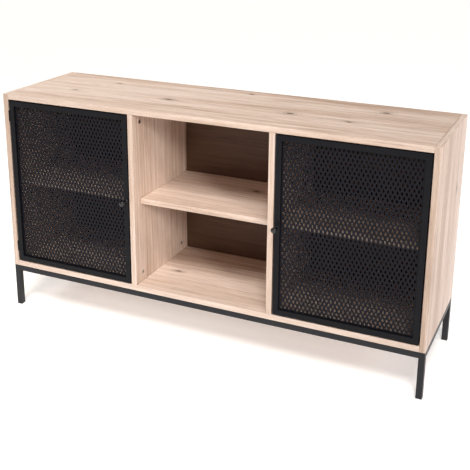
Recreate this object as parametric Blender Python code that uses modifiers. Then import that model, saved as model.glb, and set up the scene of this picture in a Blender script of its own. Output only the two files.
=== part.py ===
"""TV stand: a three-bay board carcass with two mesh doors, on a welded square-tube base.

Metres, +X to the stand's right as seen from the front, +Y to its back, +Z up.
The origin is on the floor, under the middle of the stand with its knobs.
"""
import math

import bmesh
import bpy
from mathutils import Matrix, Vector

# ---- driving dimensions ------------------------------------------------------------

WIDTH = 1.200           # carcass, left to right
DEPTH = 0.330           # carcass, front to back
CARCASS_HEIGHT = 0.510  # boards only
BASE_HEIGHT = 0.125     # floor to the underside of the bottom board
BOARD = 0.015           # particle board with a light oak face
CLEAR = 0.0003          # space between two pieces that touch
OVERSHOOT = 0.001       # how far a cutter runs past the face it opens

TUBE = 0.016            # square tube of the base
TUBE_WALL = 0.0012
TUBE_ROUND = 0.0015     # outside corner radius of a tube
ARRIS = 0.0006          # softened board edge

BACK_BOARD = 0.003
BACK_INNER_DEPTH = 0.302  # front edge to the face of the back board
GROOVE_DEPTH = 0.005
GROOVE_STOP = 0.0095      # a side's groove ends this far from its ends

SHELF_SETBACK = 0.033
SHELF_CENTRE_ABOVE_BASE = 0.250
SHELF_SIDE_PLAY = 0.001

DOOR_GAP = 0.003
DOOR_TUBE = 0.015
MESH_SHEET = 0.001
MESH_SETBACK = 0.007      # door's front face to the front of the sheet

MITRE_TOOL = 0.060        # side of the square prism that cuts a mitre

KNOB_REACH = 0.026        # in front of the door
KNOB_SCREW_IN = 0.008     # screw's reach inside the knob
KNOB_BORE_DEPTH = 0.009
KNOB_SCREW_RADIUS = 0.0019
KNOB_HOLE_RADIUS = 0.0023

HINGE_HEIGHT = 0.030
HINGE_FROM_OPENING_END = 0.047  # opening's end to the middle of a hinge
BARREL_RADIUS = 0.00135
HINGE_PIN_RADIUS = 0.0007
HINGE_PIN_BORE = 0.00095
HINGE_PIN_HEAD = 0.0006
HINGE_PIN_HEAD_RADIUS = 0.0011
LEAF = 0.0010
LEAF_REACH = 0.013        # leaf, behind the carcass's front edge

CAM_RADIUS = 0.0057
CAM_DEPTH = 0.0105
CAM_FROM_END = 0.026      # cam centre to the end of its board
CAM_FROM_EDGE = 0.0375    # cam centre to the board's front edge
CROSS_REACH = 0.0036      # half the length of a cam's cross
CROSS_HALF = 0.0006       # half the width of its slots
CROSS_DEPTH = 0.0018

GLIDE_FLANGE = 0.0015
GLIDE_PLUG = 0.012
CATCH_SIZE = Vector((0.030, 0.012, 0.010))
CATCH_BEHIND_DOOR = 0.0005
CATCH_FROM_DIVIDER = 0.004
CATCH_ROUND = 0.0008

HOLE_SIDES = 16
PIECE_SIDES = 8

# ---- places worked out from them ---------------------------------------------------

FRONT = KNOB_REACH - (DEPTH + KNOB_REACH) / 2
REAR = FRONT + DEPTH
BOTTOM = BASE_HEIGHT
TOP = BOTTOM + CARCASS_HEIGHT
FLOOR = BOTTOM + BOARD          # upper face of the bottom board
CEILING = TOP - BOARD           # underside of the top board
HALF = WIDTH / 2
INNER_HALF = HALF - BOARD       # inner face of a side
BAY = (WIDTH - 4 * BOARD) / 3
DIVIDER_CENTRE = BAY / 2 + BOARD / 2
BACK_FACE = FRONT + BACK_INNER_DEPTH
SHELF_CENTRE = BOTTOM + SHELF_CENTRE_ABOVE_BASE
SHELF_UNDERSIDE = SHELF_CENTRE - BOARD / 2
AXIS_X = INNER_HALF - DOOR_GAP / 2
AXIS_Y = FRONT             # flush with the carcass's front edges
CAM_ROWS = (FRONT + CAM_FROM_EDGE, BACK_FACE - CAM_FROM_EDGE)
HINGE_HEIGHTS = (FLOOR + HINGE_FROM_OPENING_END, CEILING - HINGE_FROM_OPENING_END)

X, Y, Z = Vector((1, 0, 0)), Vector((0, 1, 0)), Vector((0, 0, 1))

# Each finish: base colour, roughness, metallic.
FINISHES = {
    "light_oak": ((0.72, 0.60, 0.50), 0.55, 0.0),
    "back_oak": ((0.60, 0.49, 0.40), 0.65, 0.0),
    "black_steel": ((0.025, 0.027, 0.031), 0.42, 0.6),
    "black_sheet": ((0.022, 0.022, 0.024), 0.50, 0.6),
    "black_knob": ((0.020, 0.021, 0.024), 0.30, 0.6),
    "zinc": ((0.62, 0.62, 0.60), 0.35, 1.0),
    "black_plastic": ((0.020, 0.020, 0.021), 0.60, 0.0),
    "white_plastic": ((0.80, 0.80, 0.78), 0.50, 0.0),
}


# ---- helpers -----------------------------------------------------------------------

def clear_scene():
    for old in list(bpy.data.objects):
        bpy.data.objects.remove(old, do_unlink=True)


def new_collection(name):
    collection = bpy.data.collections.new(name)
    bpy.context.scene.collection.children.link(collection)
    return collection


def make_material(node, finish):
    colour, roughness, metallic = FINISHES[finish]
    material = bpy.data.materials.new(node + "_" + finish)
    material.use_nodes = True
    shader = material.node_tree.nodes["Principled BSDF"]
    shader.inputs["Base Color"].default_value = (*colour, 1.0)
    shader.inputs["Roughness"].default_value = roughness
    shader.inputs["Metallic"].default_value = metallic
    return material


def add_box(shape, low, high):
    """A box between two corners, as one more closed body of the shape."""
    low, high = Vector(low), Vector(high)
    matrix = Matrix.Translation((low + high) / 2) @ Matrix.Diagonal((*(high - low), 1))
    return bmesh.ops.create_cube(shape, size=1, matrix=matrix)["verts"]


def along(start, direction):
    """The matrix that stands local +Z along a direction, from a start point."""
    turn = Z.rotation_difference(direction).to_matrix().to_4x4()
    return Matrix.Translation(start) @ turn


def add_cylinder(shape, start, direction, radius, length, sides=PIECE_SIDES):
    matrix = along(start, direction) @ Matrix.Translation((0, 0, length / 2))
    bmesh.ops.create_cone(
        shape, cap_ends=True, segments=sides, radius1=radius, radius2=radius,
        depth=length, matrix=matrix,
    )


def turned_mesh(profile, sides=PIECE_SIDES):
    """A profile of (radius, height) points, listed top to bottom, turned about local Z."""
    mesh = bpy.data.meshes.new("profile")
    points = [(radius, 0, height) for radius, height in profile]
    edges = [(i, i + 1) for i in range(len(points) - 1)]
    mesh.from_pydata(points, edges, [])
    blank = bpy.data.objects.new("profile", mesh)
    bpy.context.scene.collection.objects.link(blank)
    screw = blank.modifiers.new("turn", "SCREW")
    screw.steps = sides
    screw.render_steps = sides
    screw.use_merge_vertices = True
    screw.merge_threshold = 0.00005
    bpy.context.view_layer.update()
    evaluated = blank.evaluated_get(bpy.context.evaluated_depsgraph_get())
    turned = bpy.data.meshes.new_from_object(evaluated)
    bpy.data.objects.remove(blank, do_unlink=True)
    return turned


def add_turned(shape, mesh, start, direction):
    """One more copy of a turned mesh, standing along a direction."""
    before = set(shape.verts)
    shape.from_mesh(mesh)
    fresh = [v for v in shape.verts if v not in before]
    bmesh.ops.transform(shape, matrix=along(start, direction), verts=fresh)


def put(node, shape, origin, finish, parent=None, smooth_angle=None):
    """Make a node from a shape in world coordinates, with its origin at a given point."""
    origin = Vector(origin)
    bmesh.ops.translate(shape, vec=-origin, verts=shape.verts)
    mesh = bpy.data.meshes.new(node)
    shape.to_mesh(mesh)
    shape.free()
    if smooth_angle is not None:
        mesh.shade_smooth()
        mesh.set_sharp_from_angle(angle=smooth_angle)
    item = bpy.data.objects.new(node, mesh)
    item.data.materials.append(make_material(node, finish))
    parts.objects.link(item)
    item.location = origin
    if parent is not None:
        item.parent = parent
        item.location = origin - parent.location
    return item


def soften(item, width=ARRIS, segments=1):
    bevel = item.modifiers.new("arris", "BEVEL")
    bevel.width = width
    bevel.segments = segments
    bevel.limit_method = "ANGLE"


def combine(item, tool_shape, operation="DIFFERENCE"):
    """Cut a tool out of a node, or join it on. The tool is in world coordinates."""
    mesh = bpy.data.meshes.new(item.name + "_tool")
    tool_shape.to_mesh(mesh)
    tool_shape.free()
    tool = bpy.data.objects.new(item.name + "_tool", mesh)
    cutters.objects.link(tool)
    tool.hide_render = True
    tool.display_type = "WIRE"
    boolean = item.modifiers.new(operation.lower(), "BOOLEAN")
    boolean.operation = operation
    boolean.solver = "EXACT"
    boolean.object = tool


def drill(shape, mouth, inward, radius, depth):
    """A blind hole's tool, which starts a little outside the face that it enters."""
    start = Vector(mouth) - inward * OVERSHOOT
    add_cylinder(shape, start, inward, radius, depth + OVERSHOOT, HOLE_SIDES)


# ---- cam locks -----------------------------------------------------------------------

def cam_places(side):
    """Name and face centre of the four cams in a divider, which open to its right face."""
    face_x = side * DIVIDER_CENTRE + BOARD / 2
    heights = (("top", CEILING - CAM_FROM_END), ("bottom", FLOOR + CAM_FROM_END))
    places = []
    for height_word, z in heights:
        for row_word, y in zip(("front", "back"), CAM_ROWS):
            places.append((height_word + "_" + row_word, Vector((face_x, y, z))))
    return places


def make_cam_locks():
    """Round cams, just under the divider's face, each with a cross for the screwdriver."""
    for word, side in (("left", -1), ("right", 1)):
        for place_word, face in cam_places(side):
            shape = bmesh.new()
            start = face - X * CLEAR
            add_cylinder(shape, start, -X, CAM_RADIUS, CAM_DEPTH, sides=16)
            cam = put(word + "_divider_cam_" + place_word, shape, start, "zinc")
            for reach_y, reach_z in ((CROSS_REACH, CROSS_HALF), (CROSS_HALF, CROSS_REACH)):
                reach = Vector((CROSS_DEPTH, reach_y, reach_z))
                tool = bmesh.new()
                add_box(tool, start - reach, start + reach)
                combine(cam, tool)


# ---- carcass -------------------------------------------------------------------------

def make_board(node, low, high, tool_shape=None, finish="light_oak"):
    shape = bmesh.new()
    add_box(shape, low, high)
    board = put(node, shape, (Vector(low) + Vector(high)) / 2, finish)
    soften(board)
    if tool_shape is not None:
        combine(board, tool_shape)
    return board


def groove_rows():
    return BACK_FACE - CLEAR, BACK_FACE + BACK_BOARD + CLEAR


def make_top_and_bottom():
    near, far = groove_rows()
    edge = INNER_HALF - CLEAR
    past = INNER_HALF + OVERSHOOT
    for node, low_z, face_z, way in (
        ("top_panel", CEILING, CEILING, 1),
        ("bottom_panel", BOTTOM, FLOOR, -1),
    ):
        tool = bmesh.new()
        ends = sorted((face_z - way * OVERSHOOT, face_z + way * GROOVE_DEPTH))
        add_box(tool, (-past, near, ends[0]), (past, far, ends[1]))
        make_board(node, (-edge, FRONT, low_z), (edge, REAR, low_z + BOARD), tool)


def make_sides():
    near, far = groove_rows()
    for node, side in (("left_side_panel", -1), ("right_side_panel", 1)):
        tool = bmesh.new()
        xs = sorted((side * (INNER_HALF - OVERSHOOT), side * (INNER_HALF + GROOVE_DEPTH)))
        add_box(tool, (xs[0], near, BOTTOM + GROOVE_STOP), (xs[1], far, TOP - GROOVE_STOP))
        xs = sorted((side * INNER_HALF, side * HALF))
        make_board(node, (xs[0], FRONT, BOTTOM), (xs[1], REAR, TOP), tool)


def make_dividers():
    for word, side in (("left", -1), ("right", 1)):
        centre = side * DIVIDER_CENTRE
        low = (centre - BOARD / 2, FRONT, FLOOR + CLEAR)
        high = (centre + BOARD / 2, BACK_FACE - CLEAR, CEILING - CLEAR)
        pockets = bmesh.new()
        for _, face in cam_places(side):
            drill(pockets, face, -X, CAM_RADIUS + CLEAR, CAM_DEPTH + 2 * CLEAR)
        make_board(word + "_divider", low, high, pockets)


def make_back_board():
    bite = GROOVE_DEPTH - 0.0005
    low = (-INNER_HALF - bite, BACK_FACE, FLOOR - bite)
    high = (INNER_HALF + bite, BACK_FACE + BACK_BOARD, CEILING + bite)
    shape = bmesh.new()
    add_box(shape, low, high)
    put("back_board", shape, (Vector(low) + Vector(high)) / 2, "back_oak")


def make_shelves():
    for node, centre in (("left_shelf", -1), ("middle_shelf", 0), ("right_shelf", 1)):
        middle = centre * (BAY + BOARD)
        reach = BAY / 2 - SHELF_SIDE_PLAY
        low = (middle - reach, FRONT + SHELF_SETBACK, SHELF_UNDERSIDE)
        high = (middle + reach, BACK_FACE - 2 * CLEAR, SHELF_UNDERSIDE + BOARD)
        make_board(node, low, high)


# ---- base ----------------------------------------------------------------------------

def make_tube(node, low, high, axis, size, finish, parent=None):
    """A hollow square tube with rounded corners: an open sleeve, thickened inwards."""
    shape = bmesh.new()
    add_box(shape, low, high)
    ends = [f for f in shape.faces if abs(f.normal[axis]) > 0.5]
    bmesh.ops.delete(shape, geom=ends, context="FACES_ONLY")
    tube = put(node, shape, (Vector(low) + Vector(high)) / 2, finish, parent)
    soften(tube, size * TUBE_ROUND / TUBE, segments=2)
    wall = tube.modifiers.new("wall", "SOLIDIFY")
    wall.thickness = TUBE_WALL
    wall.offset = -1
    wall.use_even_offset = True
    return tube


def make_legs():
    for front_word, y in (("front", FRONT), ("back", REAR - TUBE)):
        for side_word, x in (("left", -HALF), ("right", HALF - TUBE)):
            low = (x, y, GLIDE_FLANGE + CLEAR)
            high = (x + TUBE, y + TUBE, BOTTOM - CLEAR)
            make_tube(front_word + "_" + side_word + "_leg", low, high, 2, TUBE, "black_steel")


def make_base_rails():
    low_z, high_z = BOTTOM - CLEAR - TUBE, BOTTOM - CLEAR
    reach = HALF - TUBE - CLEAR
    for node, y in (("front_rail", FRONT), ("back_rail", REAR - TUBE)):
        low, high = (-reach, y, low_z), (reach, y + TUBE, high_z)
        make_tube(node, low, high, 0, TUBE, "black_steel")
    near, far = FRONT + TUBE + CLEAR, REAR - TUBE - CLEAR
    for node, x in (("left_rail", -HALF), ("right_rail", HALF - TUBE)):
        low, high = (x, near, low_z), (x + TUBE, far, high_z)
        make_tube(node, low, high, 1, TUBE, "black_steel")


def make_foot_glides():
    """A flange under each leg, with a plug that goes up inside the tube."""
    half = TUBE / 2
    for front_word, y in (("front", FRONT + half), ("back", REAR - half)):
        for side_word, x in (("left", half - HALF), ("right", HALF - half)):
            shape = bmesh.new()
            add_box(shape, (x - half, y - half, 0), (x + half, y + half, GLIDE_FLANGE))
            shape.normal_update()
            upper = [f for f in shape.faces if f.normal.z > 0.5]
            rim = TUBE_WALL + 2 * CLEAR
            bmesh.ops.inset_region(shape, faces=upper, thickness=rim, use_even_offset=True)
            raised = bmesh.ops.extrude_discrete_faces(shape, faces=upper)["faces"]
            corners = [v for f in raised for v in f.verts]
            bmesh.ops.translate(shape, vec=(0, 0, GLIDE_PLUG), verts=corners)
            node = front_word + "_" + side_word + "_foot_glide"
            put(node, shape, (x, y, 0), "black_plastic")


# ---- doors ---------------------------------------------------------------------------

def door_span(side):
    """Low and high x of a door."""
    inner = BAY / 2 + BOARD + DOOR_GAP
    outer = INNER_HALF - DOOR_GAP
    return sorted((side * inner, side * outer))


def door_heights():
    return FLOOR + DOOR_GAP, CEILING - DOOR_GAP


def add_mitre(tool, corner, across, along_z):
    """A square prism that takes the 45 degree corner off two ends of a door tube.

    The prism is turned by 45 degrees about Y. Its lower left side lies on the mitre
    line, which starts at the door's outer corner.
    """
    size = MITRE_TOOL
    away = (Vector((across, 0, 0)) + Vector((0, 0, along_z))).normalized()
    centre = Vector(corner) + away * (size / 2 - CLEAR / 2)
    matrix = Matrix.Translation(centre) @ Matrix.Rotation(math.radians(45), 4, "Y")
    scale = Matrix.Diagonal((size, size, size, 1))
    bmesh.ops.create_cube(tool, size=1, matrix=matrix @ scale)


def make_door_frame(word, side, axis):
    """Four mitred tubes. A rail loses what lies beyond the mitre line at each end."""
    left, right = door_span(side)
    low, high = door_heights()
    y = FRONT, FRONT + DOOR_TUBE
    hinge_word = ("hinge_stile", "lock_stile") if side < 0 else ("lock_stile", "hinge_stile")
    for node, x in ((hinge_word[0], left), (hinge_word[1], right - DOOR_TUBE)):
        stile = make_tube(
            word + "_door_" + node, (x, y[0], low), (x + DOOR_TUBE, y[1], high),
            2, DOOR_TUBE, "black_steel", axis,
        )
        outward = -1 if x == left else 1
        edge = left if x == left else right
        tool = bmesh.new()
        add_mitre(tool, (edge, FRONT + DOOR_TUBE / 2, low), -outward, -1)
        add_mitre(tool, (edge, FRONT + DOOR_TUBE / 2, high), -outward, 1)
        combine(stile, tool)
        if node == "lock_stile":
            tool = bmesh.new()
            place = knob_place(side)
            hole = KNOB_HOLE_RADIUS, DOOR_TUBE + 2 * OVERSHOOT
            add_cylinder(tool, place - Y * OVERSHOOT, Y, *hole, sides=HOLE_SIDES)
            combine(stile, tool)
    for node, z in (("bottom_rail", low), ("top_rail", high - DOOR_TUBE)):
        rail = make_tube(
            word + "_door_" + node, (left, y[0], z), (right, y[1], z + DOOR_TUBE),
            0, DOOR_TUBE, "black_steel", axis,
        )
        upward = 1 if z == low else -1
        edge = low if z == low else high
        tool = bmesh.new()
        add_mitre(tool, (left, FRONT + DOOR_TUBE / 2, edge), -1, upward)
        add_mitre(tool, (right, FRONT + DOOR_TUBE / 2, edge), 1, upward)
        combine(rail, tool)


def make_mesh_panel(word, side, axis):
    """The perforated sheet, kept whole here, between the four tubes."""
    left, right = door_span(side)
    low, high = door_heights()
    inset = DOOR_TUBE + CLEAR
    near = FRONT + MESH_SETBACK
    shape = bmesh.new()
    corner = (left + inset, near, low + inset), (right - inset, near + MESH_SHEET, high - inset)
    add_box(shape, *corner)
    middle = (Vector(corner[0]) + Vector(corner[1])) / 2
    put(word + "_door_mesh", shape, middle, "black_sheet", axis)


def knob_place(side):
    """The middle of the lock stile's front face, half way up the door."""
    x = side * (BAY / 2 + BOARD + DOOR_GAP + DOOR_TUBE / 2)
    return Vector((x, FRONT, (FLOOR + CEILING) / 2))


def make_knob(word, side, axis):
    reach = KNOB_REACH - CLEAR
    bore = KNOB_HOLE_RADIUS
    knob = turned_mesh([
        (0, reach), (0.0048, reach - 0.0002), (0.0066, reach - 0.0014),
        (0.0075, reach - 0.0038), (0.0071, reach - 0.0066), (0.0050, reach - 0.0090),
        (0.0038, reach - 0.0115), (0.0036, 0.0060), (0.0048, 0.0016), (0.0055, 0.0008),
        (0.0055, 0), (bore, 0), (bore, KNOB_BORE_DEPTH), (0, KNOB_BORE_DEPTH),
    ], sides=16)
    place = knob_place(side) - Y * CLEAR
    shape = bmesh.new()
    add_turned(shape, knob, place, -Y)
    put(word + "_knob", shape, place, "black_knob", axis, smooth_angle=math.radians(40))

    length = DOOR_TUBE + CLEAR + KNOB_SCREW_IN
    screw = turned_mesh([
        (0, length), (KNOB_SCREW_RADIUS, length), (KNOB_SCREW_RADIUS, 0),
        (0.0038, 0), (0.0034, -0.0018), (0, -0.0024),
    ])
    start = knob_place(side) + Y * (DOOR_TUBE + CLEAR)
    shape = bmesh.new()
    add_turned(shape, screw, start, -Y)
    put(word + "_knob_screw", shape, start, "zinc", axis)


# ---- hinges --------------------------------------------------------------------------

def make_hinge_leaf(node, side, middle_z, leaf_x, own_knuckles, parent):
    """A leaf that lies in the door's gap, with its own thirds of the barrel.

    The other thirds are cut clear for its partner, and the pin's bore is cut last.
    """
    third = HINGE_HEIGHT / 3
    base = middle_z - HINGE_HEIGHT / 2
    axis_x = side * AXIS_X
    plate, knuckles, clearances, bore = (bmesh.new() for _ in range(4))
    low = (leaf_x[0], AXIS_Y, base + CLEAR / 2)
    add_box(plate, low, (leaf_x[1], FRONT + LEAF_REACH, base + HINGE_HEIGHT - CLEAR / 2))
    for part in range(3):
        if part in own_knuckles:
            start = (axis_x, AXIS_Y, base + part * third + CLEAR / 2)
            add_cylinder(knuckles, start, Z, BARREL_RADIUS, third - CLEAR, 12)
        else:
            start = (axis_x, AXIS_Y, base + part * third - CLEAR / 2)
            add_cylinder(clearances, start, Z, BARREL_RADIUS + CLEAR, third + CLEAR, 12)
    start = (axis_x, AXIS_Y, base - OVERSHOOT)
    add_cylinder(bore, start, Z, HINGE_PIN_BORE, HINGE_HEIGHT + 2 * OVERSHOOT)
    leaf = put(node, plate, (axis_x, AXIS_Y, middle_z), "black_steel", parent)
    combine(leaf, clearances)
    combine(leaf, knuckles, "UNION")
    combine(leaf, bore)


def make_hinges(word, side, axis):
    """Carcass leaf against the side, door leaf against the hinge stile, pin between."""
    outer = sorted((side * (INNER_HALF - CLEAR - LEAF), side * (INNER_HALF - CLEAR)))
    door_edge = INNER_HALF - DOOR_GAP
    inner = sorted((side * (door_edge + CLEAR), side * (door_edge + CLEAR + LEAF)))
    half = HINGE_HEIGHT / 2
    head = half + CLEAR + HINGE_PIN_HEAD
    wide = HINGE_PIN_HEAD_RADIUS
    upper_end = [(0, head), (wide, head), (wide, half + CLEAR), (HINGE_PIN_RADIUS, half + CLEAR)]
    lower_end = [(radius, -z) for radius, z in reversed(upper_end)]
    pin = turned_mesh(upper_end + lower_end)
    for place_word, z in zip(("lower", "upper"), HINGE_HEIGHTS):
        name = word + "_" + place_word + "_hinge_"
        make_hinge_leaf(name + "carcass_leaf", side, z, outer, (0, 2), None)
        make_hinge_leaf(name + "door_leaf", side, z, inner, (1,), axis)
        shape = bmesh.new()
        place = Vector((side * AXIS_X, AXIS_Y, z))
        add_turned(shape, pin, place, Z)
        put(name + "pin", shape, place, "black_knob")


# ---- magnetic catches ----------------------------------------------------------------

def catch_box(side):
    """A catch hangs under the top board, behind the lock end of the door's top rail."""
    near_x = side * (BAY / 2 + BOARD + CATCH_FROM_DIVIDER)
    xs = sorted((near_x, near_x + side * CATCH_SIZE.x))
    y = FRONT + DOOR_TUBE + CATCH_BEHIND_DOOR
    high_z = CEILING - CLEAR
    return Vector((xs[0], y, high_z - CATCH_SIZE.z)), Vector((xs[1], y + CATCH_SIZE.y, high_z))


def make_catches():
    for word, side in (("left", -1), ("right", 1)):
        low, high = catch_box(side)
        shape = bmesh.new()
        add_box(shape, low, high)
        catch = put(word + "_magnetic_catch", shape, (low + high) / 2, "white_plastic")
        soften(catch, CATCH_ROUND)


# ---- the stand -----------------------------------------------------------------------

def make_doors():
    for word, side in (("left", -1), ("right", 1)):
        axis = bpy.data.objects.new(word + "_door_axis", None)
        axis.location = (side * AXIS_X, AXIS_Y, (FLOOR + CEILING) / 2)
        parts.objects.link(axis)
        make_door_frame(word, side, axis)
        make_mesh_panel(word, side, axis)
        make_knob(word, side, axis)
        make_hinges(word, side, axis)


clear_scene()
parts = new_collection("tv_stand_with_doors")
cutters = new_collection("cutters")
make_top_and_bottom()
make_sides()
make_dividers()
make_back_board()
make_shelves()
make_cam_locks()
make_legs()
make_base_rails()
make_foot_glides()
make_doors()
make_catches()
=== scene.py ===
# %% [markdown]
# # A TV stand with two mesh doors
# The stand is an oak-look board carcass of three bays, on a base of black square tube. A door of
# black tube and perforated sheet closes each outer bay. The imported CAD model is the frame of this
# lesson. Its back board only gets a finish. Its other boards get fine round-overs as well, and
# its metal and plastic pieces are modelled again in more detail, each in its packed place.

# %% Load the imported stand
import math

import bmesh
import bpy
from mathutils import Matrix, Vector


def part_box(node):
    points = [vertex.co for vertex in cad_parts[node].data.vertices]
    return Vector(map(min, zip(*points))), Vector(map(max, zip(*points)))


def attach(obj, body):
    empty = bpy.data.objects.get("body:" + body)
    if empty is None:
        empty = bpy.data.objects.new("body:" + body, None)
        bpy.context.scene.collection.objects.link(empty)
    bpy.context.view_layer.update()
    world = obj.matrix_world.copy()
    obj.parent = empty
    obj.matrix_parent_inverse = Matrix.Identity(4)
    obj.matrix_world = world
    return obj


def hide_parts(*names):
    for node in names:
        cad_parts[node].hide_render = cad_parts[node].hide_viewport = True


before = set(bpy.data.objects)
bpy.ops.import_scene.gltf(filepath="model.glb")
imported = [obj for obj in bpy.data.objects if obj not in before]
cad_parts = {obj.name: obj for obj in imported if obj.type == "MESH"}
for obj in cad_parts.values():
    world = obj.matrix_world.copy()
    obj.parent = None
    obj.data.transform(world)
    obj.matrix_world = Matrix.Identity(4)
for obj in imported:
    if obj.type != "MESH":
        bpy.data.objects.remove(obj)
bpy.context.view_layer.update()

# %% [markdown]
# Every material below is a small program of nodes. Writing the sums as Python expressions keeps
# them readable, so one class stands for an output socket and adds a Math node for each operator.
# A second class makes the material and adds any other node. Colours go through Mix nodes, because
# a Math node would turn them grey.

# %% Arithmetic on sockets
class Wire:
    """An output socket that can be added, subtracted and multiplied like a number."""

    def __init__(self, paint, socket):
        self.paint = paint
        self.socket = socket

    def math(self, operation, *others):
        """A Math node on this wire and any others."""
        sockets = dict(zip(("Value", "Value_001"), (self, *others)))
        return self.paint.node("Math", {"operation": operation}, **sockets)

    def __add__(self, other):
        return self.math("ADD", other)

    __radd__ = __add__

    def __mul__(self, other):
        return self.math("MULTIPLY", other)

    __rmul__ = __mul__

    def __sub__(self, other):
        return self.math("SUBTRACT", other)

    def __rsub__(self, other):
        return (self * -1) + other

    def part(self, name):
        """Another output of the same node."""
        return Wire(self.paint, self.socket.node.outputs[name])

    def step(self, low, high):
        """0 below low, 1 above high, and a soft rise between them."""
        return self.paint.node(
            "MapRange", {"interpolation_type": "SMOOTHSTEP"}, "Result",
            Value=self, From_Min=low, From_Max=high, To_Min=0.0, To_Max=1.0,
        )

    def fall(self, low, high):
        """1 below low and 0 above high."""
        return 1 - self.step(low, high)


print("a Wire adds, subtracts, multiplies and steps")

# %% A material and its nodes
class Paint:
    """A new material. Plain values go straight onto the shader's own sockets."""

    def __init__(self, name, **constants):
        self.material = bpy.data.materials.new(name)
        self.material.use_nodes = True
        self.tree = self.material.node_tree
        self.shader = self.tree.nodes["Principled BSDF"]
        self.finish(**constants)

    def feed(self, node, name, value):
        socket = next(s for s in node.inputs if name in (s.identifier, s.name.replace(" ", "_")))
        if isinstance(value, Wire):
            self.tree.links.new(value.socket, socket)
        else:
            socket.default_value = value

    def finish(self, **sockets):
        for name, value in sockets.items():
            self.feed(self.shader, name, value)

    def node(self, kind, settings=None, output=0, **sockets):
        """Add one node: its settings first, then the values or wires of its sockets."""
        new = self.tree.nodes.new("ShaderNode" + kind)
        for name, value in (settings or {}).items():
            if name == "stops":
                self.set_stops(new.color_ramp, value)
            else:
                setattr(new, name, value)
        for name, value in sockets.items():
            self.feed(new, name, value)
        return Wire(self, new.outputs[output])

    def set_stops(self, ramp, stops):
        ramp.elements[0].position, ramp.elements[0].color = stops[0]
        ramp.elements[1].position, ramp.elements[1].color = stops[-1]
        for position, colour in stops[1:-1]:
            ramp.elements.new(position).color = colour

    def mix(self, amount, first, second, blend="MIX"):
        """A blend of two colours."""
        settings = {"data_type": "RGBA", "blend_type": blend}
        new = self.node("Mix", settings, Factor_Float=amount, A_Color=first, B_Color=second)
        outputs = new.socket.node.outputs
        return Wire(self, next(s for s in outputs if s.identifier == "Result_Color"))

    def noise(self, vector, scale, detail, roughness=0.5):
        return self.node(
            "TexNoise", None, "Fac", Vector=vector, Scale=scale, Detail=detail, Roughness=roughness
        )

    def bump(self, height, distance, strength):
        return self.node(
            "Bump", None, "Normal", Height=height, Distance=distance, Strength=strength
        )


def tint(red, green, blue):
    """A colour given as a painter's 0 to 255 values, in the linear form shaders want."""
    def linear(value):
        value /= 255
        return value / 12.92 if value <= 0.04045 else ((value + 0.055) / 1.055) ** 2.4
    return (linear(red), linear(green), linear(blue), 1.0)


print("a painter's mid grey is", round(tint(128, 128, 128)[0], 3), "in linear light")

# %% [markdown]
# The boards wear a printed oak decor under a satin film. Such a print has long pale and brown
# bands, fine fibres, dark smudges, short pores and a few knots with rings round them. Noise
# stretched along the grain gives the first four at different widths, and a knot is drawn by the
# distance from its middle. The pattern reads Object coordinates, which are metres here, so that
# its scale is true, and each board gets its own shift, as no two boards are cut from the same
# place of the print.

# %% Board coordinates
FACES_THE_END = 0.7     # how far a normal must point along the grain to lie on a cut end


def board_space(paint, along, across, shift):
    """Coordinates with X along the grain and Y across it, turned at cut ends for the edge band."""
    place = paint.node("TexCoord", None, "Object")
    x = paint.node("SeparateXYZ", None, "X", Vector=place)
    ways = {"X": x, "Y": x.part("Y"), "Z": x.part("Z")}
    through = (set("XYZ") - {along, across}).pop()
    facing = paint.node("NewGeometry", None, "Normal")
    facing_x = paint.node("SeparateXYZ", None, "X", Vector=facing)
    at_end = facing_x.part(along).math("ABSOLUTE").math("GREATER_THAN", FACES_THE_END)
    straight = paint.node("CombineXYZ", None, 0, X=ways[along], Y=ways[across], Z=ways[through])
    turned = paint.node("CombineXYZ", None, 0, X=ways[across], Y=ways[along], Z=ways[through])
    chosen = paint.mix(at_end, straight, turned)
    moved = paint.node("Mapping", {"vector_type": "POINT"}, 0, Vector=chosen, Location=shift)
    return moved, ways


def stretched(paint, vector, scale, fineness=1.0):
    """The same coordinates, scaled by one amount along the grain and another across it."""
    along, across = scale[0], scale[1] * fineness
    return paint.node(
        "VectorMath", {"operation": "MULTIPLY"}, 0,
        Vector=vector, Vector_001=(along, across, across),
    )


def streaks(paint, vector, scale, detail, roughness=0.5, fineness=1.0):
    """Noise drawn out along the grain."""
    return paint.noise(stretched(paint, vector, scale, fineness), 1.0, detail, roughness)


print("board coordinates: X runs along the grain")

# %% Knots
KNOT_LENGTH = 0.0100
KNOT_WIDTH = 0.0048


def distance_to_knots(paint, vector, knots, shift):
    """How many knot sizes away the nearest knot is. A knot is (along, across, size)."""
    nearest = None
    for along, across, size in knots:
        scale = (1 / (KNOT_LENGTH * size), 1 / (KNOT_WIDTH * size), 0.0)
        centre = (scale[0] * (along + shift[0]), scale[1] * (across + shift[1]), 0.0)
        sized = paint.node(
            "VectorMath", {"operation": "MULTIPLY"}, 0, Vector=vector, Vector_001=scale
        )
        away = paint.node(
            "VectorMath", {"operation": "DISTANCE"}, "Value", Vector=sized, Vector_001=centre
        )
        nearest = away if nearest is None else nearest.math("MINIMUM", away)
    return nearest


print("a knot of size 1 is", round(KNOT_LENGTH * 2000), "by", round(KNOT_WIDTH * 2000), "mm")

# %% The oak decor
OAK_PALE = tint(236, 216, 204)
OAK_MIDDLE = tint(221, 197, 181)
OAK_BROWN = tint(184, 155, 135)
OAK_DARK = tint(118, 90, 72)
KNOT_BROWN = tint(84, 60, 43)
SATIN_ROUGHNESS = 0.46

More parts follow.
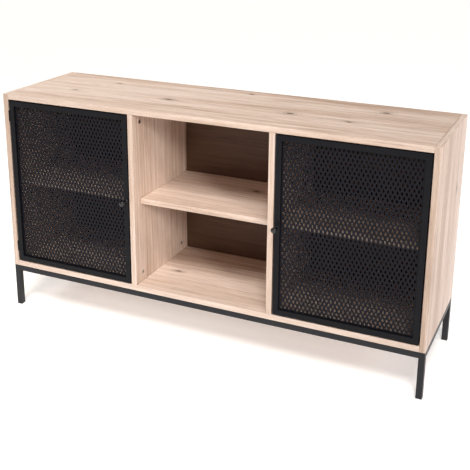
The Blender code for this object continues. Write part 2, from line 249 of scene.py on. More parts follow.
# Each pattern's scale per metre: along the grain, then across it.
SWAY_SCALE = (1.4, 5.0)
BROAD_SCALE = (0.8, 9.0)
NARROW_SCALE = (2.6, 110.0)
FIBRE_SCALE = (8.0, 340.0)
RING_FIELD_SCALE = (1.0, 8.0)
SMUDGE_SCALE = (4.6, 170.0)
PORE_SCALE = (42.0, 1300.0)

SWAY_ACROSS = 0.030     # metres that the grain wanders over the face
SWAY_THROUGH = 0.010    # metres that it wanders through the thickness
RINGS = 190.0           # how tightly the growth rings are packed
KNOT_FRAY = 0.010       # metres that the fibres fray a knot's outline
KNOT_RINGS = 6.0        # how tightly the rings round a knot are packed
BAND_EDGE = (0.0007, 0.0009)    # depth behind the front where the edge band ends
RELIEF = 0.00012        # metres between the fibres and the pores' floors

# How strongly each pattern changes the oak's colour, from 0 to 1.
RING_STRENGTH = 0.30
SMUDGE_STRENGTH = 0.58
FIBRE_STRENGTH = 0.42
PORE_STRENGTH = 0.40
HALO_STRENGTH = 0.45
KNOT_RING_STRENGTH = 0.40
KNOT_STRENGTH = 0.90
EDGE_BAND_STRENGTH = 0.25


def oak_decor(name, along, across, shift, knots=(), shade=None, front=None, grain=1.0):
    """A finish for one board: its grain's axis, the axis across it, and its place on the print."""
    paint = Paint(name, Metallic=0.0)
    board, ways = board_space(paint, along, across, shift)

    sway = streaks(paint, board, SWAY_SCALE, detail=2.0) - 0.5
    drift = paint.node(
        "CombineXYZ", None, 0, X=0.0, Y=sway * SWAY_ACROSS, Z=sway * SWAY_THROUGH
    )
    swayed = paint.node("VectorMath", {"operation": "ADD"}, 0, Vector=board, Vector_001=drift)

    broad = streaks(paint, swayed, BROAD_SCALE, detail=2.0)
    narrow = streaks(paint, swayed, NARROW_SCALE, detail=6.0, roughness=0.70, fineness=grain)
    bands = broad * 0.38 + narrow * 0.62
    fibres = streaks(paint, swayed, FIBRE_SCALE, detail=4.0, roughness=0.65, fineness=grain)
    field = streaks(paint, swayed, RING_FIELD_SCALE, detail=2.0, roughness=0.4)
    rings = (field * RINGS).math("SINE") * 0.5 + 0.5
    smudges = streaks(paint, swayed, SMUDGE_SCALE, detail=6.0, roughness=0.74, fineness=grain)
    smudges = smudges.step(0.55, 0.69)
    pores = streaks(paint, board, PORE_SCALE, detail=1.0).step(0.60, 0.72)

    colour = paint.node(
        "ValToRGB",
        {"stops": [(0.39, OAK_BROWN), (0.49, OAK_MIDDLE), (0.58, OAK_PALE)]},
        "Color", Fac=bands,
    )
    colour = paint.mix(rings * fibres.step(0.35, 0.7) * RING_STRENGTH, colour, OAK_BROWN)
    colour = paint.mix(smudges * SMUDGE_STRENGTH, colour, OAK_DARK)
    colour = paint.mix(fibres.fall(0.34, 0.50) * FIBRE_STRENGTH, colour, OAK_BROWN)
    colour = paint.mix(pores * bands.fall(0.40, 0.68) * PORE_STRENGTH, colour, OAK_DARK)
    if knots:
        fray = paint.node("CombineXYZ", None, 0, X=0.0, Y=(narrow - 0.5) * KNOT_FRAY, Z=0.0)
        frayed = paint.node("VectorMath", {"operation": "ADD"}, 0, Vector=swayed, Vector_001=fray)
        away = distance_to_knots(paint, frayed, knots, shift)
        halo = away.fall(0.5, 4.0) * narrow.fall(0.46, 0.58)
        colour = paint.mix(halo * HALO_STRENGTH, colour, OAK_DARK)
        swirl = (away * KNOT_RINGS).math("SINE").step(0.2, 1.0) * away.fall(1.0, 3.2)
        colour = paint.mix(swirl * KNOT_RING_STRENGTH, colour, KNOT_BROWN)
        colour = paint.mix(away.fall(0.55, 1.15) * KNOT_STRENGTH, colour, KNOT_BROWN)
    if front is not None:
        band = ways["Y"].fall(front + BAND_EDGE[0], front + BAND_EDGE[1])
        colour = paint.mix(band * EDGE_BAND_STRENGTH, colour, OAK_MIDDLE)
    # painted shade: a board given a shade is multiplied darker, for the shadow that falls on it
    if shade is not None:
        colour = paint.mix(1.0, colour, shade, "MULTIPLY")

    relief = fibres * 0.6 - pores
    paint.finish(
        Base_Color=colour,
        Roughness=SATIN_ROUGHNESS + fibres * 0.10 + pores * 0.15,
        Normal=paint.bump(relief, RELIEF, 0.5),
    )
    return paint


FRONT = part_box("left_side_panel")[0].y
print("board fronts are at y =", round(FRONT, 4))

# %% [markdown]
# Each board now gets its own oak. The top's knots are listed one by one, because the eye looks
# there first. The grain runs the long way on every board: across the stand on level boards and the
# back, and upright on the sides and the dividers.

# %% Paint the boards
board_nodes = []


def paint_board(node, **oak):
    board_nodes.append(node)
    paint = oak_decor("oak_on_" + node, **oak)
    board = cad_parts[node]
    board.data.materials.clear()
    board.data.materials.append(paint.material)
    board.data.polygons.foreach_set("material_index", [0] * len(board.data.polygons))


# A knot is written as its place along the board, its place across it, and its size.
TOP_KNOTS = (
    (-0.45, -0.02, 0.7), (-0.38, 0.10, 0.6), (-0.16, -0.01, 1.1), (0.02, 0.14, 0.8),
    (0.19, -0.01, 1.4), (0.35, -0.03, 0.9), (0.41, 0.10, 1.2),
)
BOTTOM_KNOTS = ((-0.13, -0.02, 0.9),)
SHELF_KNOTS = ((0.07, 0.07, 1.0),)
SIDE_KNOTS = ((0.46, 0.10, 0.8),)
TOP_GRAIN = 0.65        # the top's print is coarser than the others'

level = {"along": "X", "across": "Y"}
upright = {"along": "Z", "across": "Y", "front": FRONT}
paint_board(
    "top_panel", shift=(0.0, 0.0, 0.0), knots=TOP_KNOTS, front=FRONT, grain=TOP_GRAIN, **level
)
paint_board("bottom_panel", shift=(3.1, 0.7, 0.0), knots=BOTTOM_KNOTS, front=FRONT, **level)
paint_board("middle_shelf", shift=(5.3, 1.9, 0.0), knots=SHELF_KNOTS, **level)
paint_board("left_shelf", shift=(7.7, 2.3, 0.0), **level)
paint_board("right_shelf", shift=(9.1, 3.3, 0.0), **level)
paint_board("left_side_panel", shift=(1.7, 4.1, 0.0), **upright)
paint_board("right_side_panel", shift=(2.9, 5.3, 0.0), knots=SIDE_KNOTS, **upright)
paint_board("left_divider", shift=(4.3, 6.1, 0.0), **upright)
paint_board("right_divider", shift=(6.7, 7.9, 0.0), **upright)
print("painted", len(board_nodes), "boards")

# %% [markdown]
# The back board is thin fibreboard. Its face wears the same oak, multiplied darker as painted shade
# for the shadow deep in the bays, and its rear is bare brown fibreboard, so one material chooses
# between the two by depth.

# %% The back board
# painted shade: the back board's face is darkened for the shadow at the back of the bays
BACK_PAINTED_SHADE = tint(102, 80, 62)
FACE_DEPTH = (0.001, 0.0012)    # behind this depth the decor ends and bare fibreboard begins
FLECK_SCALE = 420.0

paint = oak_decor(
    "oak_on_back_board", along="X", across="Z", shift=(8.3, 2.1, 0.0), shade=BACK_PAINTED_SHADE
)
back_low, back_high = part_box("back_board")
place = paint.node("TexCoord", None, "Object")
depth = paint.node("SeparateXYZ", None, "X", Vector=place).part("Y")
flecks = paint.noise(place, FLECK_SCALE, detail=4.0, roughness=0.7)
bare = paint.mix(flecks.step(0.35, 0.65), tint(136, 104, 76), tint(164, 131, 99))
decor = Wire(paint, paint.shader.inputs["Base Color"].links[0].from_socket)
is_rear = depth.step(back_low.y + FACE_DEPTH[0], back_low.y + FACE_DEPTH[1])
paint.finish(Base_Color=paint.mix(is_rear, decor, bare))
back_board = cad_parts["back_board"]
back_board.data.materials.clear()
back_board.data.materials.append(paint.material)
print("back board is", round((back_high.y - back_low.y) * 1000, 1), "mm thick")

# %% [markdown]
# All the steel that shows wears powder coat: a satin near-black film, baked from powder, with a
# fine orange-peel skin. A coarse and a fine noise give the skin, and a slow one makes the gloss a
# little uneven. The base's coat is painted lighter and the doors' tubes darker: painted light and
# shade for the floor's light that falls on the low base. The doors' sheet is duller. The knobs and
# the hinges' pins are enamelled and glossier. The moulded plastics share the recipe with another
# colour.

# %% Metal and plastic finishes
CLOUD_SCALE = 14.0      # slow changes of gloss, per metre
SKIN_SCALE = 620.0      # orange peel
DUST_SCALE = 2600.0     # single grains of powder
PEEL_HEIGHT = 0.00006
GLOSS_RANGE = 0.12
WORN_GAIN, WORN_LIFT = 1.35, 0.002      # how much lighter the film is where it is worn


def coated(name, colour, roughness, peel, shine=0.5, coat=0.0):
    """A coat with orange peel. Peel is how rough its skin is, and shine how much it mirrors."""
    paint = Paint(
        name, Metallic=0.0, Specular_IOR_Level=shine, Coat_Weight=coat, Coat_Roughness=0.15
    )
    place = paint.node("TexCoord", None, "Object")
    slow = paint.noise(place, CLOUD_SCALE, detail=3.0, roughness=0.6)
    skin = paint.noise(place, SKIN_SCALE, detail=2.0)
    dust = paint.noise(place, DUST_SCALE, detail=1.0)
    worn = slow.step(0.3, 0.7) * 0.5 + dust.step(0.6, 0.8) * 0.3
    light = tuple(min(1.0, c * WORN_GAIN + WORN_LIFT) for c in colour[:3]) + (1.0,)
    paint.finish(
        Base_Color=paint.mix(worn, colour, light),
        Roughness=slow * GLOSS_RANGE + (roughness - GLOSS_RANGE / 2),
        Normal=paint.bump(skin + dust * 0.3, PEEL_HEIGHT, peel),
    )
    return paint.material


powder = {"roughness": 0.46, "peel": 0.55}
# painted light and shade: one black coat in two copies, the base's made lighter and the doors'
# darker, for the floor's light on the low base
base_steel_painted_lighter = coated("black_powder_coat_base", tint(30, 30, 35), shine=0.34, **powder)
door_steel_painted_darker = coated("black_powder_coat_doors", tint(14, 14, 19), shine=0.18, **powder)
black_sheet = coated("black_coated_sheet", tint(21, 20, 27), roughness=0.50, peel=0.5, shine=0.15)
black_knob = coated("black_enamel", tint(13, 14, 17), roughness=0.28, peel=0.2, coat=0.4)
black_plastic = coated("black_moulded_plastic", tint(30, 30, 31), roughness=0.62, peel=0.7)
white_plastic = coated("white_moulded_plastic", tint(222, 220, 214), roughness=0.48, peel=0.4)
coats = (base_steel_painted_lighter, door_steel_painted_darker, black_sheet, black_knob, black_plastic, white_plastic)
print("made", ", ".join(coat.name for coat in coats))

# %% [markdown]
# The cams, the screws and the catches' poles are small pieces plated with bright zinc. It is a
# metal, so its colour comes from what it mirrors. A cloudy noise dulls it in patches, and a
# stretched one scuffs it.

# %% Zinc
ZINC_CLOUD_SCALE = 260.0
SCUFF_SCALE = (300.0, 4200.0)
SCUFF_DEPTH = 0.00002


def zinc_plate(name):
    paint = Paint(name, Metallic=1.0)
    place = paint.node("TexCoord", None, "Object")
    cloud = paint.noise(place, ZINC_CLOUD_SCALE, detail=4.0, roughness=0.6)
    scuff = streaks(paint, place, SCUFF_SCALE, detail=2.0)
    paint.finish(
        Base_Color=paint.mix(cloud, tint(168, 168, 164), tint(208, 208, 206)),
        Roughness=cloud * 0.2 + scuff * 0.15 + 0.16,
        Normal=paint.bump(scuff, SCUFF_DEPTH, 0.4),
    )
    return paint.material


zinc = zinc_plate("bright_zinc")
print("made", zinc.name)

# %% [markdown]
# The new pieces are modelled as by hand: a primitive, some edit-mode work, then a modifier or
# two. These helpers keep each step to a line. Faces and edges are selected in code, by their
# place and direction.

# %% Hands: start, edit, pick, close
ALONG = 0.9             # a unit direction's share of an axis above which it counts as along it


def deselect_all():
    bpy.ops.object.select_all(action="DESELECT")


def select_only(piece):
    deselect_all()
    piece.select_set(True)
    bpy.context.view_layer.objects.active = piece


def set_in_place():
    """Move the active piece's place and turn into its mesh."""
    bpy.ops.object.transform_apply(location=True, rotation=True, scale=True)


def start_block(name, low, high):
    """A cube between two corners."""
    low, high = Vector(low), Vector(high)
    deselect_all()
    bpy.ops.mesh.primitive_cube_add(size=1, location=(low + high) / 2, scale=high - low)
    bpy.context.object.name = name
    set_in_place()
    return bpy.context.object


def start_rod(name, start, direction, radius, length, sides=48):
    """A cylinder that stands on a point and runs along a direction."""
    start, direction = Vector(start), Vector(direction).normalized()
    turn = direction.to_track_quat("Z", "Y").to_euler()
    deselect_all()
    bpy.ops.mesh.primitive_cylinder_add(
        vertices=sides, radius=radius, depth=length,
        location=start + direction * length / 2, rotation=turn,
    )
    bpy.context.object.name = name
    set_in_place()
    return bpy.context.object


def open_edit(piece):
    select_only(piece)
    bpy.ops.object.mode_set(mode="EDIT")


def close_edit():
    bpy.ops.object.mode_set(mode="OBJECT")


def pick(kind, wanted):
    """In edit mode, select the faces or edges that a test of centre and direction wants."""
    bpy.ops.mesh.select_mode(type=kind)
    bpy.ops.mesh.select_all(action="DESELECT")
    mesh = bpy.context.object.data
    shape = bmesh.from_edit_mesh(mesh)
    if kind == "FACE":
        for face in shape.faces:
            face.select_set(bool(wanted(face.calc_center_median(), face.normal)))
    else:
        for edge in shape.edges:
            first, second = (v.co for v in edge.verts)
            edge.select_set(bool(wanted((first + second) / 2, (second - first).normalized())))
    bmesh.update_edit_mesh(mesh)


print("hands ready to start, open, pick and close")

# %% Hands: modifiers and finishing
BEVEL_ANGLE = math.radians(35)      # only sharper edges are rounded
SMOOTH_ANGLE = math.radians(32)     # flatter edges are shaded smooth


def apply_modifier(piece, kind, **settings):
    """Add a modifier, set it, and apply it."""
    select_only(piece)
    modifier = piece.modifiers.new(kind.lower(), kind)
    for name, value in settings.items():
        setattr(modifier, name, value)
    bpy.ops.object.modifier_apply(modifier=modifier.name)


def round_edges(piece, width, segments):
    apply_modifier(
        piece, "BEVEL", width=width, segments=segments,
        limit_method="ANGLE", angle_limit=BEVEL_ANGLE,
    )


def join(name, *pieces):
    deselect_all()
    for piece in pieces:
        piece.select_set(True)
    bpy.context.view_layer.objects.active = pieces[0]
    bpy.ops.object.join()
    pieces[0].name = name
    return pieces[0]


def copy_at(piece, name, move):
    """A copy with its own mesh, moved within that mesh."""
    twin = piece.copy()
    twin.data = piece.data.copy()
    twin.name = name
    bpy.context.scene.collection.objects.link(twin)
    twin.location = move
    select_only(twin)
    set_in_place()
    return twin


def hand_over(piece, body, slot, material, *nodes):
    """Shade the piece, paint it, and let it ride on its body in place of its CAD nodes."""
    select_only(piece)
    bpy.ops.object.shade_smooth_by_angle(angle=SMOOTH_ANGLE)
    apply_modifier(piece, "WEIGHTED_NORMAL", keep_sharp=True)
    piece.data.materials.clear()
    piece.data.materials.append(material)
    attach(piece, body)
    if nodes:
        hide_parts(*nodes)


print("a finished piece is shaded, painted and riding")

# %% [markdown]
# No sawn board has a razor edge: the banding is trimmed with a fine round-over that catches the
# light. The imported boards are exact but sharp, so each gets a stand-in made from its own mesh.
# The loose triangles are merged and the flat ones dissolved into whole faces, and then a bevel of
# half a millimetre rounds every edge and hole rim.

# %% Round the boards' edges
BAND_ROUND = 0.0005
SAME_POINT = 0.00001                # points closer than this are one
SAME_PLANE = math.radians(0.5)      # faces flatter than this to each other are one


def round_board(node):
    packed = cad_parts[node]
    board = bpy.data.objects.new("banded_" + node, packed.data.copy())
    bpy.context.scene.collection.objects.link(board)
    open_edit(board)
    bpy.ops.mesh.select_all(action="SELECT")
    bpy.ops.mesh.remove_doubles(threshold=SAME_POINT)
    bpy.ops.mesh.dissolve_limited(angle_limit=SAME_PLANE)
    close_edit()
    round_edges(board, BAND_ROUND, segments=2)
    hand_over(board, "stand", "light_oak", packed.data.materials[0], node)
    return board


for node in board_nodes:
    board = round_board(node)
    shape = bmesh.new()
    shape.from_mesh(board.data)
    open_edges = sum(not edge.is_manifold for edge in shape.edges)
    shape.free()
    print(board.name, "has", len(board.data.polygons), "faces and", open_edges, "open edges")

# %% [markdown]
# The perforated sheet has over a thousand upright oval holes in staggered rows. Cutting them one
# by one would be slow, so one tile is modelled, a small rectangle with one hole, and repeated.
# Each tile has sixteen points round its rim, at equal steps, so that a row shifted by half a tile
# still meets its neighbours point to point. The half tile left over at one end of every row is a
# plain patch.

# %% One tile of the sheet
COLUMNS = 31
ROWS = 42
HOLE_WIDTH = 0.0051
HOLE_HEIGHT = 0.0095
HOLE_POINT = 1.65       # 2 is an ellipse; less is more pointed
RIM_POINTS = 16
TILE_GAP = 0.00005      # neighbours' points closer than this are joined

sheet_low, sheet_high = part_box("left_door_mesh")
pitch = (sheet_high.x - sheet_low.x) / (COLUMNS + 0.5)
row = (sheet_high.z - sheet_low.z) / ROWS


def make_tile():
    """A ring of sixteen points for the hole, drawn out to the tile's rectangle."""
    centre = Vector((sheet_low.x + pitch / 2, sheet_low.y, sheet_low.z + row / 2))
    deselect_all()
    bpy.ops.mesh.primitive_circle_add(
        vertices=RIM_POINTS, radius=1, fill_type="NOTHING", rotation=(math.radians(90), 0, 0)
    )
    tile = bpy.context.object
    set_in_place()
    open_edit(tile)
    bpy.ops.mesh.select_all(action="SELECT")
    bpy.ops.mesh.extrude_region_move()
    mesh = bmesh.from_edit_mesh(tile.data)
    for vertex in mesh.verts:
        x, z = vertex.co.x, vertex.co.z
        if vertex.select:
            longest = max(abs(x), abs(z))
            x, z = (round(2 * v / longest) / 2 for v in (x, z))
            vertex.co = centre + Vector((x * pitch / 2, 0, z * row / 2))
        else:
            reach = (abs(x) ** HOLE_POINT + abs(z) ** HOLE_POINT) ** (-1 / HOLE_POINT)
            rim = Vector((x * reach * HOLE_WIDTH / 2, 0, z * reach * HOLE_HEIGHT / 2))
            vertex.co = centre + rim
    bmesh.update_edit_mesh(tile.data)
    close_edit()
    return tile


tile = make_tile()
print("a tile is", round(pitch * 1000, 2), "by", round(row * 1000, 2), "mm")
print("it has", len(tile.data.polygons), "faces")

# %% Repeat it over the sheet
def repeat(piece, count, step):
    apply_modifier(
        piece, "ARRAY", count=count, use_relative_offset=False, use_constant_offset=True,
        constant_offset_displace=step, use_merge_vertices=True, merge_threshold=TILE_GAP,
    )


def make_patch(left_x, low_z):
    """The plain half tile: a grid whose rim has the same steps."""
    deselect_all()
    bpy.ops.mesh.primitive_grid_add(
        x_subdivisions=2, y_subdivisions=4, size=1, rotation=(math.radians(90), 0, 0),
        location=(left_x + pitch / 4, sheet_low.y, low_z + row / 2),
    )
    patch = bpy.context.object
    patch.scale = (pitch / 2, row, 1)
    set_in_place()
    return patch


repeat(tile, COLUMNS, (pitch, 0, 0))
upper_row = copy_at(tile, "upper_row", (pitch / 2, 0, row))
right_patch = make_patch(sheet_high.x - pitch / 2, sheet_low.z)
left_patch = make_patch(sheet_low.x, sheet_low.z + row)
left_sheet = join("left_perforated_sheet", tile, upper_row, right_patch, left_patch)
repeat(left_sheet, ROWS // 2, (0, 0, 2 * row))
open_edit(left_sheet)
bpy.ops.mesh.select_all(action="SELECT")
bpy.ops.mesh.remove_doubles(threshold=TILE_GAP)
bpy.ops.mesh.normals_make_consistent(inside=False)
close_edit()
print("flat sheet has", len(left_sheet.data.polygons), "faces")

# %% Give it thickness and make its twin
facing = sum(face.normal.y for face in left_sheet.data.polygons)
apply_modifier(
    left_sheet, "SOLIDIFY", thickness=sheet_high.y - sheet_low.y,
    offset=-1.0 if facing < 0 else 1.0,
)
across_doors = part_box("right_door_mesh")[0].x - sheet_low.x
right_sheet = copy_at(left_sheet, "right_perforated_sheet", (across_doors, 0, 0))
hand_over(left_sheet, "left_door", "black_sheet", black_sheet, "left_door_mesh")
hand_over(right_sheet, "right_door", "black_sheet", black_sheet, "right_door_mesh")
depths = [v.co.y for v in left_sheet.data.vertices]
print("sheet from y", round(min(depths), 4), "to", round(max(depths), 4))
print("each sheet has", len(depths), "points")

# %% [markdown]
# A door's frame is four lengths of square tube, mitred, welded and ground flush before coating,
# so from outside it is one ring. A block of the door's size has its front and back inset by the
# tube's width, the two inner faces are bridged to open it, and a bevel rounds its edges.

# %% The doors' frames
TUBE_ROUND = 0.0014


def make_door_frame(word):
    names = [word + "_door_" + n for n in ("hinge_stile", "lock_stile", "top_rail", "bottom_rail")]
    corners = [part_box(n) for n in names]
    low = Vector(min(c[0][i] for c in corners) for i in range(3))
    high = Vector(max(c[1][i] for c in corners) for i in range(3))
    ring = start_block(word + "_door_ring", low, high)
    tube = corners[2][1].z - corners[2][0].z
    open_edit(ring)
    pick("FACE", lambda centre, normal: abs(normal.y) > ALONG)
    bpy.ops.mesh.inset(thickness=tube, use_boundary=True, use_individual=True)
    bpy.ops.mesh.bridge_edge_loops()
    bpy.ops.mesh.select_all(action="SELECT")
    bpy.ops.mesh.normals_make_consistent(inside=False)
    close_edit()
    round_edges(ring, TUBE_ROUND, segments=4)
    hand_over(ring, word + "_door", "black_steel", door_steel_painted_darker, *names)
    return ring


for word in ("left", "right"):
    ring = make_door_frame(word)
    print(ring.name, "has", len(ring.data.polygons), "faces")

# %% [markdown]
# The base is welded from lengths of square tube. Each one starts as a block, its long edges are
# bevelled round, its ends are taken off, and Solidify gives the open sleeve its wall. A rail runs
# a little into the leg's rounded edge, where the real weld is filled and ground flush.

# %% The base's tubes
TUBE_WALL = 0.0012
WELD = 0.0016           # how far a rail runs into a leg
LENGTHWISE, CROSSWISE, UPRIGHT = 0, 1, 2


def make_base_tube(node, axis, lengthen):
    low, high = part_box(node)
    low[axis] -= lengthen
    high[axis] += lengthen
    tube = start_block("coated_" + node, low, high)
    open_edit(tube)
    pick("EDGE", lambda centre, direction: abs(direction[axis]) > ALONG)
    bpy.ops.mesh.bevel(offset=TUBE_ROUND, segments=4, affect="EDGES")
    pick("FACE", lambda centre, normal: abs(normal[axis]) > ALONG)
    bpy.ops.mesh.delete(type="ONLY_FACE")
    close_edit()
    apply_modifier(tube, "SOLIDIFY", thickness=TUBE_WALL, offset=-1.0, use_even_offset=True)
    hand_over(tube, "stand", "black_steel", base_steel_painted_lighter, node)


for front_word in ("front", "back"):
    make_base_tube(front_word + "_rail", LENGTHWISE, WELD)
    for side_word in ("left", "right"):
        make_base_tube(front_word + "_" + side_word + "_leg", UPRIGHT, 0.0)
for side_word in ("left", "right"):
    make_base_tube(side_word + "_rail", CROSSWISE, WELD)
print("made four legs and four rails")

# %% [markdown]
# A glide of black plastic closes each leg and keeps the steel off the floor. Only its thin flange
# shows, so a flat block with rounded edges is enough.

# %% The glides
FLANGE_HEIGHT = 0.0015
FLANGE_ROUND = 0.0005

for node in sorted(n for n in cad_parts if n.endswith("foot_glide")):
    low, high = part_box(node)
    high.z = low.z + FLANGE_HEIGHT
    flange = start_block("moulded_" + node, low, high)
    round_edges(flange, FLANGE_ROUND, segments=3)
    hand_over(flange, "stand", "black_plastic", black_plastic, node)
print("made the glides")

# %% [markdown]
# The knob is turned steel: a foot, a thin neck and a domed head. It starts as the foot's disc,
# and its front face is extruded and resized again and again, as a turner would size a profile
# from end to end.

# %% The knobs
# A profile lists (reach, radius). The foot's reach is from the door, and the head's from the tip.
KNOB_FOOT = [
    (0.0006, 0.0055), (0.0010, 0.0052), (0.0016, 0.0046), (0.0034, 0.0038), (0.0060, 0.0036),
]
KNOB_HEAD = [
    (0.0115, 0.0038), (0.0102, 0.0043), (0.0090, 0.0052), (0.0078, 0.0063), (0.0064, 0.0071),
    (0.0048, 0.00745), (0.0034, 0.0074), (0.0022, 0.0070), (0.0012, 0.0062), (0.0005, 0.0049),
    (0.0001, 0.0030), (0.0, 0.0010),
]


def draw_out(direction, centre, profile):
    """Extrude the selected face along a direction, once for each step of a profile."""
    reach, radius = profile[0]
    for next_reach, next_radius in profile[1:]:
        bpy.ops.mesh.extrude_region_move(
            TRANSFORM_OT_translate={"value": direction * (next_reach - reach)}
        )
        ratio = next_radius / radius
        bpy.ops.transform.resize(
            value=(ratio, ratio, ratio), center_override=centre + direction * next_reach
        )
        reach, radius = next_reach, next_radius


def make_knob(word):
    low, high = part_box(word + "_knob")
    base = Vector(((low.x + high.x) / 2, high.y, (low.z + high.z) / 2))
    out = Vector((0, -1, 0))
    total = high.y - low.y
    foot_height, foot_radius = KNOB_FOOT[0]
    knob = start_rod(word + "_enamelled_knob", base, out, foot_radius, foot_height)
    open_edit(knob)
    pick("FACE", lambda centre, normal: normal.y < -ALONG)
    draw_out(out, base, KNOB_FOOT + [(total - back, radius) for back, radius in KNOB_HEAD])
    close_edit()
    hand_over(knob, word + "_door", "black_knob", black_knob, word + "_knob")
    return knob


for word in ("left", "right"):
    print(make_knob(word).name, "made")

# %% [markdown]
# Cams and the knobs' screws have a cross for the screwdriver. Two thin blocks cut it, one Boolean
# each, and are then thrown away. One cam is modelled, and all eight are copies of it. A screw's
# head is drawn out as a knob is.

# %% Screw heads with a cross
CAM_RADIUS = 0.0057
CAM_ROUND = 0.0004
CAM_CROSS = (0.0036, 0.0012, 0.0018)    # a slot's reach, width and depth


def cut_cross(piece, centre, normal, reach, width, depth):
    """Cut a cross of slots into a round face that looks along X or Y."""
    side = Vector((0, 1, 0)) if abs(normal.x) > 0.5 else Vector((1, 0, 0))
    up = Vector((0, 0, 1))
    blocks = []
    for long_way, short_way in ((side, up), (up, side)):
        half = long_way * reach + short_way * width / 2 + Vector(abs(v) for v in normal) * depth
        blocks.append(start_block("cross", centre - half, centre + half))
    for block in blocks:
        apply_modifier(piece, "BOOLEAN", operation="DIFFERENCE", solver="EXACT", object=block)
        bpy.data.objects.remove(block)


cam_nodes = sorted(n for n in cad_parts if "_cam_" in n)
first_low, first_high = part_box(cam_nodes[0])
first_face = (first_low + first_high) / 2
first_face.x = first_high.x
cam = start_rod("first_cam", first_face, (-1, 0, 0), CAM_RADIUS, first_high.x - first_low.x)
round_edges(cam, CAM_ROUND, segments=2)
cut_cross(cam, first_face, Vector((1, 0, 0)), *CAM_CROSS)
for node in cam_nodes:
    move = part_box(node)[0] - first_low
    hand_over(copy_at(cam, "turned_" + node, move), "stand", "zinc", zinc, node)
bpy.data.objects.remove(cam)
print("made", len(cam_nodes), "cams")

# %% The knobs' screws
PAN_HEAD = [(0.0010, 0.0038), (0.0017, 0.0035), (0.0021, 0.0028), (0.0024, 0.0016)]
PAN_CROSS = (0.0020, 0.0008, 0.0012)    # a slot's reach, width and depth
BACKWARD = Vector((0, 1, 0))

for word in ("left", "right"):
    low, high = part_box(word + "_knob_screw")
    rim_height, rim_radius = PAN_HEAD[0]
    head_height = PAN_HEAD[-1][0]
    middle = Vector(((low.x + high.x) / 2, high.y - head_height, (low.z + high.z) / 2))
    head = start_rod(word + "_pan_head", middle, BACKWARD, rim_radius, rim_height)
    open_edit(head)
    pick("FACE", lambda centre, normal: normal.y > ALONG)
    draw_out(BACKWARD, middle, PAN_HEAD)
    close_edit()
    cut_cross(head, middle + BACKWARD * head_height, BACKWARD, *PAN_CROSS)
    hand_over(head, word + "_door", "zinc", zinc, word + "_knob_screw")
print("made the knobs' screws")

# %% [markdown]
# Each door hangs on two small butt hinges whose leaves lie in the gap beside it. The carcass leaf
# has the top and bottom thirds of the barrel, the door leaf has the middle third, and a pin with
# rounded ends goes through all three.

# %% The hinges
BARREL_RADIUS = 0.00135
PIN_RADIUS = 0.0011
PIN_ROUND = 0.0003
LEAF_NEAR, LEAF_FAR = 0.0002, 0.0012    # a leaf's two faces, measured from the axis
KNUCKLE_GAP = 0.0001    # the air at each end of a knuckle
BARREL_SIDES = 32


def make_leaf(word, place, kind, thirds, body):
    node = "_".join((word, place, "hinge", kind, "leaf"))
    low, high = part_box(node)
    pin_low, pin_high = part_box("_".join((word, place, "hinge_pin")))
    axis = (pin_low + pin_high) / 2
    third = (high.z - low.z) / 3
    outward = math.copysign(1.0, axis.x) * (1 if kind == "carcass" else -1)
    xs = sorted((axis.x + outward * LEAF_NEAR, axis.x + outward * LEAF_FAR))
    plate = start_block(node + "_plate", (xs[0], axis.y, low.z), (xs[1], high.y, high.z))
    pieces = [plate]
    for part in thirds:
        start = (axis.x, axis.y, low.z + part * third + KNUCKLE_GAP)
        height = third - 2 * KNUCKLE_GAP
        knuckle = start_rod("knuckle", start, (0, 0, 1), BARREL_RADIUS, height, BARREL_SIDES)
        pieces.append(knuckle)
    leaf = join("formed_" + node, *pieces)
    hand_over(leaf, body, "black_steel", door_steel_painted_darker, node)


def make_hinge(word, place):
    make_leaf(word, place, "carcass", (0, 2), "stand")
    make_leaf(word, place, "door", (1,), word + "_door")
    node = "_".join((word, place, "hinge_pin"))
    low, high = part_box(node)
    base = Vector(((low.x + high.x) / 2, (low.y + high.y) / 2, low.z))
    pin = start_rod("headed_" + node, base, (0, 0, 1), PIN_RADIUS, high.z - low.z, BARREL_SIDES)
    round_edges(pin, PIN_ROUND, segments=3)
    hand_over(pin, "stand", "black_knob", black_knob, node)


for word in ("left", "right"):
    for place in ("lower", "upper"):
        make_hinge(word, place)
print("made four hinges")

# %% [markdown]
# A magnetic catch holds each door shut. Its white housing hangs under the top board, with two
# steel poles that stand just proud of its front to meet the door's rail.

# %% The catches
POLE_PROUD = 0.0006     # how far the poles stand in front of the housing
HOUSING_WALL = 0.0016
HOUSING_ROUND = 0.0005
POLE_INSET = 0.0034     # from the housing's top or bottom to a pole's middle
POLE_HALF = 0.0006
POLE_SIDE = 0.003       # from the housing's side to a pole's end
POLE_DEPTH = 0.004
POLE_ROUND = 0.0002

for word in ("left", "right"):
    node = word + "_magnetic_catch"
    low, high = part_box(node)
    housing = start_block(word + "_catch_housing", low + Vector((0, POLE_PROUD, 0)), high)
    open_edit(housing)
    pick("FACE", lambda centre, normal: normal.y < -ALONG)
    bpy.ops.mesh.inset(thickness=HOUSING_WALL)
    bpy.ops.mesh.extrude_region_move(TRANSFORM_OT_translate={"value": (0, HOUSING_WALL, 0)})
    close_edit()
    round_edges(housing, HOUSING_ROUND, segments=3)
    hand_over(housing, "stand", "white_plastic", white_plastic, node)
    poles = []
    for z in (low.z + POLE_INSET, high.z - POLE_INSET):
        pole = start_block(
            "pole", (low.x + POLE_SIDE, low.y, z - POLE_HALF),
            (high.x - POLE_SIDE, low.y + POLE_DEPTH, z + POLE_HALF),
        )
        round_edges(pole, POLE_ROUND, segments=2)
        poles.append(pole)
    hand_over(join(word + "_catch_poles", *poles), "stand", "zinc", zinc)
print("made the catches")

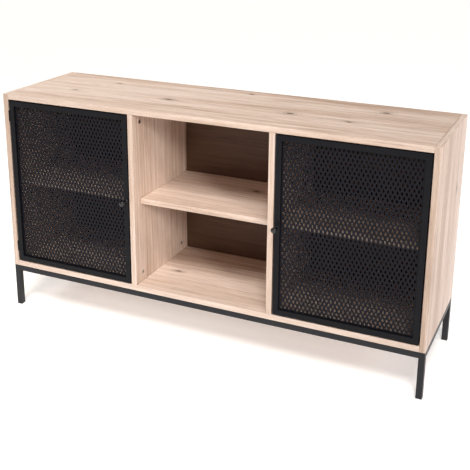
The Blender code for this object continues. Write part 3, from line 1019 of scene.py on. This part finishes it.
# %% [markdown]
# The stand is shown as in a catalogue: a plain pale floor under a white sky. The sky lights
# things only dimly, so that the bays fall dark towards their backs: a mix shader gives it full
# strength only where it is looked at directly. A wide sun, high in front, does most of the work.
# A spot lamp from the front right fills the open bay. Two soft lamps, set a little behind the
# stand's back, light its sides and top and don't shine into its bays.

# %% Floor and sky
FLOOR_SIZE = 60
FLOOR_GLOW = 0.28
WHITE = (1.0, 1.0, 1.0, 1.0)
DIM_SKY, SEEN_SKY = 0.15, 1.0

deselect_all()
bpy.ops.mesh.primitive_plane_add(size=FLOOR_SIZE, location=(0, 0, 0))
floor = bpy.context.object
floor.name = "studio_floor"
floor_paint = Paint(
    "pale_floor", Roughness=0.9, Emission_Color=WHITE, Emission_Strength=FLOOR_GLOW
)
floor_place = floor_paint.node("TexCoord", None, "Object")
floor_grain = floor_paint.noise(floor_place, scale=3.0, detail=2.0)
floor_paint.finish(
    Base_Color=floor_paint.mix(floor_grain, tint(247, 247, 247), tint(250, 250, 250))
)
floor.data.materials.append(floor_paint.material)

world = bpy.data.worlds.new("white_sky")
world.use_nodes = True
sky_nodes, sky_links = world.node_tree.nodes, world.node_tree.links
dim_sky = sky_nodes["Background"]
seen_sky = sky_nodes.new("ShaderNodeBackground")
for sky, strength in ((dim_sky, DIM_SKY), (seen_sky, SEEN_SKY)):
    sky.inputs["Color"].default_value = WHITE
    sky.inputs["Strength"].default_value = strength
either = sky_nodes.new("ShaderNodeMixShader")
sky_links.new(sky_nodes.new("ShaderNodeLightPath").outputs["Is Camera Ray"], either.inputs[0])
sky_links.new(dim_sky.outputs[0], either.inputs[1])
sky_links.new(seen_sky.outputs[0], either.inputs[2])
sky_links.new(either.outputs[0], sky_nodes["World Output"].inputs["Surface"])
bpy.context.scene.world = world
print("the sky lights at", DIM_SKY, "and is seen at", SEEN_SKY)

# %% Lamps
MIDDLE = (0.0, 0.0, 0.35)
OPEN_BAY = (-0.10, -0.10, 0.40)


def add_lamp(kind, name, place, target, **settings):
    """A lamp at a place, aimed at a target. For a SUN only the direction between them counts."""
    lamp = bpy.data.lights.new(name, kind)
    for setting, value in settings.items():
        setattr(lamp, setting, value)
    holder = bpy.data.objects.new(name, lamp)
    holder.location = place
    holder.rotation_euler = (Vector(target) - Vector(place)).to_track_quat("-Z", "Y").to_euler()
    bpy.context.scene.collection.objects.link(holder)


add_lamp(
    "SUN", "key_lamp", (0.7, -1.95, 3.4), MIDDLE,
    energy=2.5, angle=math.radians(20), color=(1.0, 0.97, 0.92),
)
add_lamp(
    "SPOT", "bay_lamp", (2.1, -1.9, 1.6), OPEN_BAY,
    energy=270.0, spot_size=math.radians(15), spot_blend=0.6, shadow_soft_size=0.4,
    color=(1.0, 0.96, 0.90),
)
add_lamp(
    "AREA", "side_lamp", (2.8, 0.35, 1.2), MIDDLE,
    energy=19.5, shape="DISK", size=1.4, color=(0.92, 0.92, 1.0),
)
add_lamp(
    "AREA", "fill_lamp", (-1.9, 0.6, 2.0), MIDDLE,
    energy=20.0, shape="DISK", size=1.2, color=(1.0, 0.95, 0.88),
)
bpy.context.scene.view_settings.view_transform = "Standard"

# %% [markdown]
# The camera stands high in front and to the right, with a long lens so that the stand's upright
# edges lean only a little. The lens is shifted downward, as on a view camera, to set the whole
# stand in the square frame.

# %% Camera
CAMERA_PLACE = (0.9226, -1.9842, 1.1674)
FOCAL_LENGTH = 65.49    # millimetres, for a sensor 36 mm wide
LENS_SHIFT = -0.181     # in widths of the frame
TURN = 24.15            # degrees to the left of straight back
DIP = 16.71             # degrees below level
LEAN = 0.477            # degrees about the line of sight

lens = bpy.data.cameras.new("camera")
lens.sensor_width = 36.0
lens.lens = FOCAL_LENGTH
lens.shift_y = LENS_SHIFT
camera = bpy.data.objects.new("camera", lens)
camera.location = CAMERA_PLACE
turn, tip, lean = (math.radians(angle) for angle in (TURN, 90 - DIP, LEAN))
aim = Matrix.Rotation(turn, 3, "Z") @ Matrix.Rotation(tip, 3, "X")
aim = aim @ Matrix.Rotation(lean, 3, "Z")
camera.rotation_euler = aim.to_euler()
bpy.context.scene.collection.objects.link(camera)
bpy.context.scene.camera = camera
print("camera at", tuple(round(v, 2) for v in camera.location))
